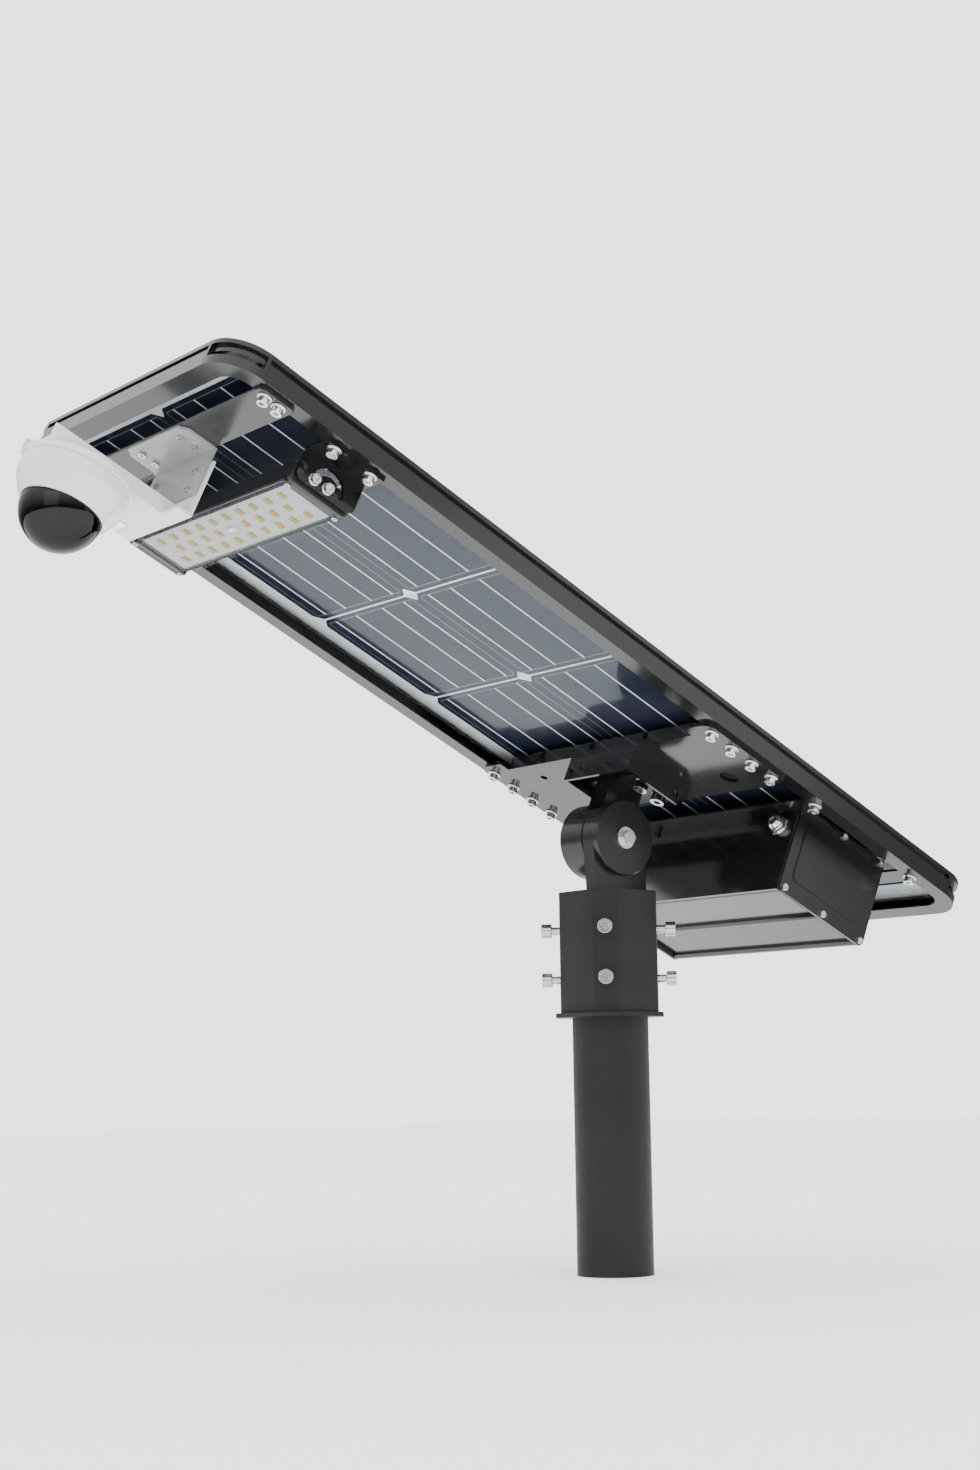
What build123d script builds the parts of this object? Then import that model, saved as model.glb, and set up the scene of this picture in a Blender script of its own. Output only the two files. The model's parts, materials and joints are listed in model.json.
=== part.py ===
from build123d import *
from math import cos, radians, sin
import os

os.makedirs("parts", exist_ok=True)

# Solar street lamp head on the top of its pole. Millimetres, +Z up, +X towards the lamp end of
# the panel, +Y towards the side the pivot bolt goes in from. The origin is the centre of the
# pole's lower end.

# ---- pole and sleeve ----
pole_radius = 38.0
pole_wall = 3.0
pole_end_gap = 0.1
swivel_clearance = 0.08
sleeve_width = 87.0
sleeve_chamfer = 18.4
sleeve_bottom = 256.0
sleeve_top = 377.0
sleeve_cap = 6.0
collar_overhang = 5.0
collar_thickness = 4.5
set_screw_levels = [sleeve_top - 87.5, sleeve_top - 38.0]
set_screw_radius = 4.0
set_screw_head_radius = 7.3
set_screw_head_height = 10.0
set_screw_exposed = 9.0
set_screw_tip_gap = 0.3

# ---- tilt knuckle ----
pivot_height = 430.0
panel_tilt = 24.8
knuckle_radius = 38.0
post_near = 22.0
post_far = 6.0
post_base_width = 58.0
gusset_reach = 11.0
gusset_height = 41.0
gusset_thickness = 5.0
disc_thickness = 5.7
disc_gap = 0.3
hub_far = -28.0
friction_washer_thickness = 1.0
friction_washer_radius = 30.0
pivot_bolt_radius = 5.0
pivot_clearance = 0.05
pivot_head_radius = 7.8
pivot_head_height = 6.4
pivot_washer_radius = 11.0
pivot_washer_thickness = 2.0
hub_neck_length = 44.0
hub_neck_far = -18.0
hub_flange_thickness = 8.0
hub_flange_length = 52.0
hub_flange_width = 84.0
hub_flange_centre = -11.0

# ---- panel frame (heights are above the tilt pivot, measured square to the panel) ----
panel_front = 664.4
panel_rear = -341.0
panel_width = 361.6
frame_bottom = 79.2
frame_height = 25.8
frame_wall = 2.5
flange_width = 18.8
flange_thickness = 2.0
groove_depth = 3.5
groove_low = 16.3
groove_high = 21.3
lip_width = 10.5
lip_thickness = 2.0
ledge_thickness = 3.0
corner_radius = 40.0
corner_window_low = 8.8
corner_web_angle = 5.0
corner_joint_gap = 0.2

# ---- laminate ----
back_glass_thickness = 2.0
cell_gap_height = 0.8
front_glass_thickness = 3.2
glass_edge_gap = 0.4
cell_rows = 6
cell_columns = 2
cell_pitch_length = 155.9
cell_pitch_width = 152.8
cell_space = 2.2
cell_side_space = 0.2
cell_corner = 9.0
cell_thickness = 0.4
cell_window_gap = 0.1
ribbon_width = 1.6
ribbon_thickness = 0.3
ribbon_offsets = [-56.5, -21.8, 21.8, 56.5]
ribbon_end_gap = 6.0

# ---- mounting plate and yoke ----
mount_plate_thickness = 4.0
mount_plate_front = 60.0
mount_plate_rear = -56.8
mount_lip_face = 48.0
mount_plate_overlap = 13.0
mount_lip_height = 11.0
mount_lip_inset = 22.0
mount_bolt_pitch = 29.2
flange_bolt_inset = 14.8
flange_bolt_length = 14.0
wire_hole_radius = 10.0
yoke_thickness = 3.0
yoke_front = 40.0
yoke_rear = -44.0
yoke_width = 98.0
yoke_drop = 20.7
yoke_bolt_rows = [2.0, -24.0]
yoke_bolt_spread = 58.0

# ---- fasteners ----
m8_radius = 4.0
m8_head_radius = 7.5
m8_head_height = 9.0
m8_washer_radius = 8.0
m8_washer_thickness = 1.6
m8_nut_height = 6.5
m6_radius = 3.0
m6_head_radius = 5.2
m6_head_height = 6.0
m6_nut_height = 4.5
m4_radius = 2.0
m4_head_radius = 3.6
m4_head_height = 2.4
m3_radius = 1.5
m3_head_radius = 2.7
m3_head_height = 2.0
hole_clearance = 0.3

# ---- front cross plate and camera bracket ----
cross_plate_rear = 584.0
cross_plate_length = 37.0
cross_plate_thickness = 3.0
bracket_thickness = 2.5
bracket_width = 100.0
bracket_corner = 8.0
bracket_bolt_rows = [610.5, 595.5]
bracket_bolt_spread = 65.6
bracket_web_bottom = 26.0
web_screw_levels = [53.5, 34.5]
arm_bottom = 3.0
arm_width = 57.0
arm_wall_height = 14.5
arm_foot_width = 108.0
arm_foot_length = 13.0
arm_web_top = 62.0
arm_overrun = 47.0
base_screw_circle = 22.0

# ---- dome camera ----
camera_reach = 667.7
camera_base_radius = 51.0
camera_base_height = 6.0
camera_skirt_radius = 50.0
camera_skirt_height = 8.4
camera_seam = 0.6
dome_radius = 36.9
dome_depth = 38.9
dome_wall = 1.8
dome_flange = 2.8
dome_flange_level = 5.4
dome_flange_thickness = 1.5
housing_wall = 2.2
turret_thickness = 4.0
spindle_radius = 4.0
eye_radius = 19.0
eye_pitch = 40.0
eye_pin_radius = 2.5
camera_clearance = 0.3

# ---- flood lamp ----
lamp_pivot_reach = 512.3
lamp_pivot_height = 54.7
lamp_centre = 515.2
lamp_half_length = 131.0
lamp_body_width = 62.0
lamp_cover_length = 250.8
lamp_cover_width = 58.5
lamp_cover_low = 40.3
lamp_cover_depth = 5.0
lamp_cover_floor = 2.0
lamp_rim = 4.0
lamp_cover_segments = 5
segment_notch = 1.6
lamp_gasket = 1.0
board_thickness = 1.6
board_margin = 0.6
gasket_width = 3.5
sink_base = 5.0
fin_height = 12.0
fin_thickness = 1.6
fin_count = 11
end_cap_thickness = 6.0
led_pitch = 22.6
led_row_pitch = 15.3
led_size = 4.6
led_height = 1.0
bubble_radius = 6.2
bubble_rise = 3.0
lamp_bracket_thickness = 3.0
lamp_bracket_gap = 0.3
lamp_bracket_length = 65.0
lamp_bracket_bottom = 47.0
lamp_bracket_flange = 34.0
lamp_bracket_pitch = 41.0
arc_radius = 15.0
arc_travel = 172.0
lock_head_radius = 4.6
lock_head_height = 4.5

# ---- battery box ----
box_front = -119.0
box_rear = -250.0
box_low = -1.0
box_front_low = -5.0
rod_level = -0.8
box_high = 92.0
box_half_length = 133.0
box_wall = 2.5
box_gasket = 1.0
box_end_thickness = 3.0
screw_channel_radius = 4.6
screw_channel_inset = 6.2
bar_leg = 22.0
bar_leg_drop = 12.0
bar_thickness = 3.0
bar_leg_half = 90.0
bar_box_bolt_spread = 140.0
cell_can_radius = 16.1
cell_can_length = 70.0
cell_can_pitch = 32.6
holder_base = 3.0
holder_plate = 4.0
inner_gap = 0.3
gland_reach = 112.0
gland_height = 69.0
gland_radius = 11.0

# ---- derived ----
tilt = radians(panel_tilt)
head = Plane(
    origin=(0, 0, pivot_height), x_dir=(cos(tilt), 0, sin(tilt)), z_dir=(-sin(tilt), 0, cos(tilt))
)
panel_half = panel_width / 2
frame_top = frame_bottom + frame_height
glass_low = frame_top - lip_thickness - front_glass_thickness - cell_gap_height - back_glass_thickness
cell_low = glass_low + back_glass_thickness
front_glass_low = cell_low + cell_gap_height
pocket_depth = groove_depth + 1.8
glass_inset = pocket_depth + glass_edge_gap
panel_centre = (panel_front + panel_rear) / 2
panel_length = panel_front - panel_rear
flange_edge = panel_half - flange_width
mount_plate_low = frame_bottom - mount_plate_thickness
yoke_top = mount_plate_low
hub_flange_top = yoke_top - yoke_thickness
hub_flange_low = hub_flange_top - hub_flange_thickness
hub_near = post_far - friction_washer_thickness - 2 * disc_gap
cross_plate_low = frame_bottom - cross_plate_thickness
bracket_low = cross_plate_low - bracket_thickness
flange_top = frame_bottom + flange_thickness
collar_bottom = sleeve_bottom - collar_thickness
pole_length = sleeve_top - sleeve_cap - pole_end_gap
plate_half = flange_edge + mount_plate_overlap
flange_bolt_t = panel_half - flange_bolt_inset
mount_rows = [
    (mount_plate_front + mount_plate_rear) / 2 + mount_bolt_pitch * k for k in (-1.5, -0.5, 0.5, 1.5)
]
lamp_bracket_rows = [lamp_pivot_reach + side * lamp_bracket_pitch / 2 for side in (-1, 1)]
bar_rows = [box_front + bar_leg / 2, box_rear - bar_leg / 2]
flange_bolt_sets = [
    (mount_rows, mount_plate_low, flange_top), (bracket_bolt_rows, cross_plate_low, flange_top),
    (lamp_bracket_rows, frame_bottom - lamp_bracket_thickness, flange_top),
    (bar_rows, frame_bottom, flange_top + bar_thickness),
]


def outward_plane(turn, distance, level):
    """Plane square to the pole's radius at the given turn, facing outwards."""
    across = (cos(radians(turn)), sin(radians(turn)), 0)
    origin = (across[0] * distance, across[1] * distance, level)
    return Plane(origin=origin, x_dir=(-across[1], across[0], 0), z_dir=across)


def side_plane(t):
    """Plane at distance t to the near side, x along the panel, y square to it, facing away."""
    return Plane(origin=head.from_local_coords((0, t, 0)), x_dir=head.x_dir, z_dir=-head.y_dir)


def front_plane(s):
    """Plane across the panel at distance s to the front, facing the front."""
    return Plane(origin=head.from_local_coords((s, 0, 0)), x_dir=head.y_dir, z_dir=head.x_dir)


def level_plane(h):
    """Plane parallel to the panel at height h above the tilt pivot."""
    return head.offset(h)


def pivot_plane(y):
    """Upright plane at y, x along X and y along Z from the tilt pivot, facing away."""
    return Plane(origin=(0, y, pivot_height), x_dir=(1, 0, 0), z_dir=(0, -1, 0))


def bolt_shape(radius, length, head_radius, head_height, sides=6, socket=0.0, washer=0.0, washer_height=0.0):
    """A bolt along Z: the shank goes down from the underside of its washer, the head is up."""
    with BuildPart() as bolt:
        with BuildSketch():
            Circle(radius)
        extrude(amount=-length)
        if washer:
            with BuildSketch():
                Circle(washer)
            extrude(amount=washer_height)
        with BuildSketch(Plane.XY.offset(washer_height)):
            if sides:
                RegularPolygon(head_radius, sides)
            else:
                Circle(head_radius)
        extrude(amount=head_height)
        if socket:
            with BuildSketch(Plane.XY.offset(washer_height + head_height)):
                RegularPolygon(socket, 6)
            extrude(amount=-head_height * 0.6, mode=Mode.SUBTRACT)
    return bolt.part


def nut_shape(bore, radius, height, washer=0.0, washer_height=0.0):
    """A hexagon nut along Z with its washer below it, the washer's underside at Z 0."""
    with BuildPart() as nut:
        if washer:
            with BuildSketch():
                Circle(washer)
            extrude(amount=washer_height)
        with BuildSketch(Plane.XY.offset(washer_height)):
            RegularPolygon(radius, 6)
        extrude(amount=height)
        with BuildSketch():
            Circle(bore)
        extrude(amount=height + washer_height, mode=Mode.SUBTRACT)
    return nut.part


def save(builder, label):
    builder.part.label = label
    export_step(builder.part, f"parts/{label}.step")


# ================= pole, sleeve and knuckle =================
with BuildPart() as pole_section:
    with BuildSketch():
        Circle(pole_radius)
        Circle(pole_radius - pole_wall, mode=Mode.SUBTRACT)
    extrude(amount=pole_length)
save(pole_section, "pole_section")

screw_turns = [45, 135, 225, 315]
chamfer_face = (sleeve_width - sleeve_chamfer) / 2**0.5
with BuildPart() as pole_sleeve:
    with BuildSketch(Plane.XY.offset(collar_bottom)):
        Rectangle(sleeve_width + 2 * collar_overhang, sleeve_width + 2 * collar_overhang)
        chamfer(vertices(), sleeve_chamfer + collar_overhang * 0.6)
    extrude(amount=collar_thickness)
    with BuildSketch(Plane.XY.offset(sleeve_bottom)):
        Rectangle(sleeve_width, sleeve_width)
        chamfer(vertices(), sleeve_chamfer)
    extrude(amount=sleeve_top - sleeve_bottom)
    with BuildSketch(Plane.XY.offset(collar_bottom)):
        Circle(pole_radius + swivel_clearance)
    extrude(amount=sleeve_top - sleeve_cap - collar_bottom, mode=Mode.SUBTRACT)
    for level in set_screw_levels:
        for turn in screw_turns:
            with BuildSketch(outward_plane(turn, chamfer_face, level)):
                Circle(set_screw_radius)
            extrude(amount=-(chamfer_face - pole_radius), mode=Mode.SUBTRACT)
save(pole_sleeve, "pole_sleeve")

set_screw = bolt_shape(
    set_screw_radius, chamfer_face + set_screw_exposed - pole_radius - set_screw_tip_gap,
    set_screw_head_radius, set_screw_head_height, sides=0, socket=4.6,
)
with BuildPart() as sleeve_set_screws:
    for level in set_screw_levels:
        for turn in screw_turns:
            with Locations(outward_plane(turn, chamfer_face + set_screw_exposed, level)):
                add(set_screw)
save(sleeve_set_screws, "sleeve_set_screws")

post_low = sleeve_top - pivot_height
with BuildPart() as knuckle_post:
    with BuildSketch(pivot_plane(post_near)):
        Circle(knuckle_radius)
        with BuildLine():
            Polyline(
                (-knuckle_radius * 0.83, 0), (-post_base_width / 2, post_low),
                (post_base_width / 2 + gusset_thickness, post_low), (knuckle_radius, 0), close=True,
            )
        make_face()
        Circle(pivot_bolt_radius + hole_clearance, mode=Mode.SUBTRACT)
    extrude(amount=post_near - post_far)
    with BuildSketch(pivot_plane(post_far + gusset_reach)):
        with Locations((gusset_thickness / 2 - knuckle_radius, post_low + gusset_height / 2)):
            Rectangle(gusset_thickness, gusset_height)
    extrude(amount=gusset_reach)
save(knuckle_post, "knuckle_post")

disc_near = post_near + disc_gap + disc_thickness
with BuildPart() as knuckle_disc:
    with BuildSketch(pivot_plane(disc_near)):
        Circle(knuckle_radius)
        Circle(pivot_bolt_radius + hole_clearance, mode=Mode.SUBTRACT)
    extrude(amount=disc_thickness + disc_gap)
    chamfer(knuckle_disc.faces().sort_by(Axis.Y)[-1].outer_wire().edges(), 0.8)
save(knuckle_disc, "knuckle_disc")

with BuildPart() as friction_washer:
    with BuildSketch(pivot_plane(post_far)):
        Circle(friction_washer_radius)
        Circle(pivot_bolt_radius + hole_clearance, mode=Mode.SUBTRACT)
    extrude(amount=friction_washer_thickness)
save(friction_washer, "friction_washer")

with BuildPart() as tilt_hub:
    with BuildSketch(side_plane(hub_near)):
        Circle(knuckle_radius)
    extrude(amount=hub_near - hub_far)
    with BuildSketch(side_plane(hub_near)):
        with Locations((0, hub_flange_low / 2)):
            Rectangle(hub_neck_length, hub_flange_low)
    extrude(amount=hub_near - hub_neck_far)
    with BuildSketch(level_plane(hub_flange_low)):
        with Locations((hub_flange_centre, 0)):
            RectangleRounded(hub_flange_length, hub_flange_width, 8)
    extrude(amount=hub_flange_thickness)
    with BuildSketch(side_plane(hub_near)):
        Circle(pivot_bolt_radius + pivot_clearance)
    extrude(amount=hub_near - hub_far, mode=Mode.SUBTRACT)
    with BuildSketch(level_plane(hub_flange_low)):
        for row in yoke_bolt_rows:
            with Locations((row, -yoke_bolt_spread / 2), (row, yoke_bolt_spread / 2)):
                Circle(m8_radius + hole_clearance)
    extrude(amount=hub_flange_thickness, mode=Mode.SUBTRACT)
save(tilt_hub, "tilt_hub")

bolt_span = disc_near - hub_far
pivot_bolt_solid = bolt_shape(
    pivot_bolt_radius, bolt_span + pivot_washer_thickness * 2 + 12, pivot_head_radius, pivot_head_height
)
with BuildPart() as pivot_bolt:
    with Locations(Location((0, disc_near + pivot_washer_thickness, pivot_height), (-90, 0, 0))):
        add(pivot_bolt_solid)
save(pivot_bolt, "pivot_bolt")

with BuildPart() as pivot_washers:
    for y in (disc_near + pivot_washer_thickness, hub_far - disc_gap):
        with BuildSketch(pivot_plane(y)):
            Circle(pivot_washer_radius)
            Circle(pivot_bolt_radius + hole_clearance, mode=Mode.SUBTRACT)
        extrude(amount=pivot_washer_thickness)
save(pivot_washers, "pivot_washers")

pivot_nut_solid = nut_shape(pivot_bolt_radius, pivot_head_radius, pivot_head_height + 1.6)
with BuildPart() as pivot_nut:
    with Locations(Location((0, hub_far - disc_gap - pivot_washer_thickness, pivot_height), (90, 0, 0))):
        add(pivot_nut_solid)
save(pivot_nut, "pivot_nut")

# ================= mounting plate and yoke =================
wing_inner = flange_edge - mount_lip_inset
with BuildPart() as mount_plate:
    with BuildSketch(level_plane(mount_plate_low)):
        with Locations(((mount_plate_front + mount_plate_rear) / 2, 0)):
            RectangleRounded(mount_plate_front - mount_plate_rear, 2 * plate_half, 12)
        with Locations(((mount_plate_front + mount_lip_face) / 2, 0)):
            Rectangle(mount_plate_front - mount_lip_face, 2 * wing_inner, mode=Mode.SUBTRACT)
        for row in mount_rows:
            with Locations((row, -flange_bolt_t), (row, flange_bolt_t)):
                Circle(m6_radius + hole_clearance, mode=Mode.SUBTRACT)
        for row in yoke_bolt_rows:
            with Locations((row, -yoke_bolt_spread / 2), (row, yoke_bolt_spread / 2)):
                Circle(m8_radius + hole_clearance, mode=Mode.SUBTRACT)
        with Locations((-31, 118)):
            Circle(wire_hole_radius, mode=Mode.SUBTRACT)
        with Locations((23, -108)):
            Circle(m8_radius, mode=Mode.SUBTRACT)
    extrude(amount=mount_plate_thickness)
    with BuildSketch(front_plane(mount_lip_face)):
        with Locations((0, frame_bottom + mount_lip_height / 2)):
            Rectangle(2 * wing_inner, mount_lip_height)
        with Locations((-88, frame_bottom + 6), (70, frame_bottom + 6)):
            Circle(4.2, mode=Mode.SUBTRACT)
        with Locations((-9, frame_bottom + 6)):
            Rectangle(8, 7, mode=Mode.SUBTRACT)
    extrude(amount=-mount_plate_thickness)
save(mount_plate, "mount_plate")

with BuildPart() as yoke_bracket:
    with BuildSketch(level_plane(yoke_top - yoke_thickness)):
        with Locations(((yoke_front + yoke_rear) / 2, 0)):
            Rectangle(yoke_front - yoke_rear, yoke_width)
    extrude(amount=yoke_thickness)
    with BuildSketch(front_plane(yoke_front)):
        with Locations((0, yoke_top - yoke_drop / 2)):
            Rectangle(yoke_width, yoke_drop)
        with Locations((-41, yoke_top - 10), (-25, yoke_top - 9)):
            Circle(2.6, mode=Mode.SUBTRACT)
    extrude(amount=-yoke_thickness)
    for t in (yoke_width / 2, -yoke_width / 2 + yoke_thickness):
        with BuildSketch(side_plane(t)):
            with Locations(((yoke_front + yoke_rear) / 2, yoke_top - yoke_drop / 2)):
                Rectangle(yoke_front - yoke_rear, yoke_drop)
            with Locations((yoke_rear + 16, yoke_top - 12)):
                Rectangle(5.5, 5.5, mode=Mode.SUBTRACT)
            with Locations((yoke_rear, yoke_top - yoke_drop)):
                Rectangle(14, 14, rotation=45, mode=Mode.SUBTRACT)
        extrude(amount=yoke_thickness)
    with BuildSketch(level_plane(yoke_top - yoke_thickness)):
        for row in yoke_bolt_rows:
            with Locations((row, -yoke_bolt_spread / 2), (row, yoke_bolt_spread / 2)):
                Circle(m8_radius + hole_clearance)
    extrude(amount=yoke_thickness, mode=Mode.SUBTRACT)
save(yoke_bracket, "yoke_bracket")

yoke_bolt_solid = bolt_shape(
    m8_radius, hub_flange_thickness + yoke_thickness + mount_plate_thickness + 10, m8_head_radius,
    m8_head_height, sides=0, socket=4.0, washer=m8_washer_radius, washer_height=m8_washer_thickness,
)
m8_nut = nut_shape(m8_radius, m8_head_radius, m8_nut_height, m8_washer_radius, m8_washer_thickness)
yoke_places = [(row, side * yoke_bolt_spread / 2) for row in yoke_bolt_rows for side in (-1, 1)]
with BuildPart(head) as yoke_bolts:
    with Locations(*[Location((s, t, hub_flange_low), (180, 0, 0)) for s, t in yoke_places]):
        add(yoke_bolt_solid)
save(yoke_bolts, "yoke_bolts")
with BuildPart(head) as yoke_nuts:
    with Locations(*[Location((s, t, frame_bottom)) for s, t in yoke_places]):
        add(m8_nut)
save(yoke_nuts, "yoke_nuts")


# ================= panel frame =================
def frame_outline(outer, window_low=groove_low):
    """Frame section: outer is the X of its outside face, the section reaches inwards from it."""
    low = frame_bottom
    points = [
        (0, low), (0, low + window_low), (groove_depth, low + window_low),
        (groove_depth, low + groove_high), (0, low + groove_high), (0, frame_top),
        (lip_width, frame_top), (lip_width, frame_top - lip_thickness),
        (pocket_depth, frame_top - lip_thickness), (pocket_depth, glass_low),
        (lip_width, glass_low), (lip_width, glass_low - ledge_thickness),
        (frame_wall, glass_low - ledge_thickness), (frame_wall, low + flange_thickness),
        (flange_width, low + flange_thickness), (flange_width, low),
    ]
    return [(outer - depth, height) for depth, height in points]


def corner_window_outline(outer):
    """Corner section where its outer wall is open above the window's sill."""
    low = frame_bottom
    points = [
        (groove_depth, low + groove_high), (0, low + groove_high), (0, frame_top),
        (lip_width, frame_top), (lip_width, frame_top - lip_thickness),
        (pocket_depth, frame_top - lip_thickness), (pocket_depth, glass_low),
        (lip_width, glass_low), (lip_width, glass_low - ledge_thickness),
        (groove_depth, glass_low - ledge_thickness),
    ]
    return [(outer - depth, height) for depth, height in points]


def rail_shape(length):
    """A frame rail along Y, its outside face at X 0."""
    with BuildPart() as rail:
        with BuildSketch(Plane.XZ.offset(-length / 2)):
            with BuildLine():
                Polyline(*frame_outline(0), close=True)
            make_face()
        extrude(amount=length)
    return rail.part


side_rail = rail_shape(panel_length - 2 * corner_radius - 2 * corner_joint_gap)
end_rail = rail_shape(panel_width - 2 * corner_radius - 2 * corner_joint_gap)
rail_places = [
    ("frame_rail_near", side_rail, (panel_centre, panel_half), 90),
    ("frame_rail_far", side_rail, (panel_centre, -panel_half), -90),
    ("frame_rail_front", end_rail, (panel_front, 0), 0),
    ("frame_rail_rear", end_rail, (panel_rear, 0), 180),
]
for label, shape, (s, t), turn in rail_places:
    with BuildPart(head) as frame_rail:
        with Locations(Location((s, t, 0), (0, 0, turn))):
            add(shape)
        if t:
            with BuildSketch(level_plane(frame_bottom)):
                for rows, _, _ in flange_bolt_sets:
                    with Locations(*[(row, flange_bolt_t * t / panel_half) for row in rows]):
                        Circle(m6_radius + hole_clearance)
            extrude(amount=flange_thickness, mode=Mode.SUBTRACT)
    save(frame_rail, label)

sill = [
    (corner_radius, frame_bottom), (corner_radius, frame_bottom + corner_window_low),
    (corner_radius - frame_wall, frame_bottom + corner_window_low),
    (corner_radius - frame_wall, frame_bottom + flange_thickness),
    (corner_radius - flange_width, frame_bottom + flange_thickness),
    (corner_radius - flange_width, frame_bottom),
]
web = [
    (corner_radius - depth, height) for depth, height in [
        (0, frame_bottom), (0, frame_bottom + groove_high), (groove_depth + 0.4, frame_bottom + groove_high),
        (groove_depth + 0.4, glass_low - ledge_thickness / 2), (lip_width, glass_low - ledge_thickness / 2),
        (lip_width, frame_bottom),
    ]
]
with BuildPart() as corner_piece:
    for outline in (corner_window_outline(corner_radius), sill):
        with BuildSketch(Plane.XZ):
            with BuildLine():
                Polyline(*outline, close=True)
            make_face()
        revolve(axis=Axis.Z, revolution_arc=90)
    for start in (0, 90 - corner_web_angle):
        across = (cos(radians(start)), sin(radians(start)), 0)
        with BuildSketch(Plane(origin=(0, 0, 0), x_dir=across, z_dir=(across[1], -across[0], 0))):
            with BuildLine():
                Polyline(*web, close=True)
            make_face()
        revolve(axis=Axis.Z, revolution_arc=corner_web_angle)
corner_reach = panel_length / 2 - corner_radius
corner_side = panel_half - corner_radius
with BuildPart(head) as frame_corners:
    for along, across, turn in ((1, 1, 0), (-1, 1, 90), (-1, -1, 180), (1, -1, 270)):
        place = (panel_centre + along * corner_reach, across * corner_side, 0)
        with Locations(Location(place, (0, 0, turn))):
            add(corner_piece.part)
save(frame_corners, "frame_corners")

flange_bolt = bolt_shape(
    m6_radius, flange_bolt_length, m6_head_radius, m6_head_height,
    sides=0, socket=3.0, washer=m6_head_radius + 1.6, washer_height=1.4,
)
m6_nut = nut_shape(m6_radius, 5.8, m6_nut_height)
with BuildPart(head) as flange_bolts:
    for rows, head_level, _ in flange_bolt_sets:
        places = [(row, side * flange_bolt_t, head_level) for row in rows for side in (-1, 1)]
        with Locations(*[Location(place, (180, 0, 0)) for place in places]):
            add(flange_bolt)
save(flange_bolts, "flange_bolts")
with BuildPart(head) as flange_nuts:
    for rows, _, nut_level in flange_bolt_sets:
        with Locations(*[(row, side * flange_bolt_t, nut_level) for row in rows for side in (-1, 1)]):
            add(m6_nut)
save(flange_nuts, "flange_nuts")

# ================= laminate =================
glass_length = panel_length - 2 * glass_inset
glass_width = panel_width - 2 * glass_inset
glass_corner = corner_radius - glass_inset
for label, low, thickness in (
    ("back_glass", glass_low, back_glass_thickness), ("front_glass", front_glass_low, front_glass_thickness)
):
    with BuildPart() as glass:
        with BuildSketch(level_plane(low)):
            with Locations((panel_centre, 0)):
                RectangleRounded(glass_length, glass_width, glass_corner)
        extrude(amount=thickness)
    save(glass, label)

cell_length = cell_pitch_length - cell_space
cell_width = cell_pitch_width - cell_side_space
cell_rows_at = [panel_centre + cell_pitch_length * (k - (cell_rows - 1) / 2) for k in range(cell_rows)]
cell_columns_at = [cell_pitch_width * (k - (cell_columns - 1) / 2) for k in range(cell_columns)]


def cell_outline(s, t, gap=0.0):
    """A square cell at s, t with its four corners cut off."""
    x, y, c = cell_length / 2 + gap, cell_width / 2 + gap, cell_corner
    corners = [(x, y - c), (x - c, y), (c - x, y), (-x, y - c), (-x, c - y), (c - x, -y), (x - c, -y), (x, c - y)]
    return [(s + px, t + py) for px, py in corners]


with BuildPart() as solar_cells:
    with BuildSketch(level_plane(front_glass_low - cell_thickness)):
        for s in cell_rows_at:
            for t in cell_columns_at:
                with BuildLine():
                    Polyline(*cell_outline(s, t), close=True)
                make_face()
    extrude(amount=cell_thickness)
save(solar_cells, "solar_cells")

with BuildPart() as encapsulant:
    with BuildSketch(level_plane(cell_low)):
        with Locations((panel_centre, 0)):
            RectangleRounded(glass_length, glass_width, glass_corner)
        for s in cell_rows_at:
            for t in cell_columns_at:
                with BuildLine():
                    Polyline(*cell_outline(s, t, cell_window_gap), close=True)
                make_face(mode=Mode.SUBTRACT)
    extrude(amount=cell_gap_height)
save(encapsulant, "encapsulant_sheet")

with BuildPart() as tab_ribbons:
    with BuildSketch(level_plane(front_glass_low - cell_thickness - ribbon_thickness)):
        for t in cell_columns_at:
            for offset in ribbon_offsets:
                with Locations(*[(s, t + offset) for s in cell_rows_at]):
                    Rectangle(cell_length - 2 * ribbon_end_gap, ribbon_width)
    extrude(amount=ribbon_thickness)
save(tab_ribbons, "tab_ribbons")

with BuildPart() as junction_box:
    with BuildSketch(level_plane(glass_low - 13)):
        with Locations((box_rear - 50, 0)):
            RectangleRounded(38, 70, 5)
    extrude(amount=13)
    fillet(junction_box.faces().sort_by(Axis(head.origin, head.z_dir))[0].edges(), 2)
save(junction_box, "junction_box")

# ================= front cross plate and camera bracket =================
cross_plate_middle = cross_plate_rear + cross_plate_length / 2
with BuildPart() as cross_plate:
    with BuildSketch(level_plane(cross_plate_low)):
        with Locations((cross_plate_middle, 0)):
            Rectangle(cross_plate_length, 2 * plate_half)
            chamfer(vertices(), 4)
        for row in bracket_bolt_rows:
            with Locations(*[(row, side * flange_bolt_t) for side in (-1, 1)]):
                Circle(m6_radius + hole_clearance, mode=Mode.SUBTRACT)
            with Locations(*[(row, side * bracket_bolt_spread / 2) for side in (-1, 1)]):
                Circle(m4_radius + hole_clearance, mode=Mode.SUBTRACT)
    extrude(amount=cross_plate_thickness)
save(cross_plate, "front_cross_plate")

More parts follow.
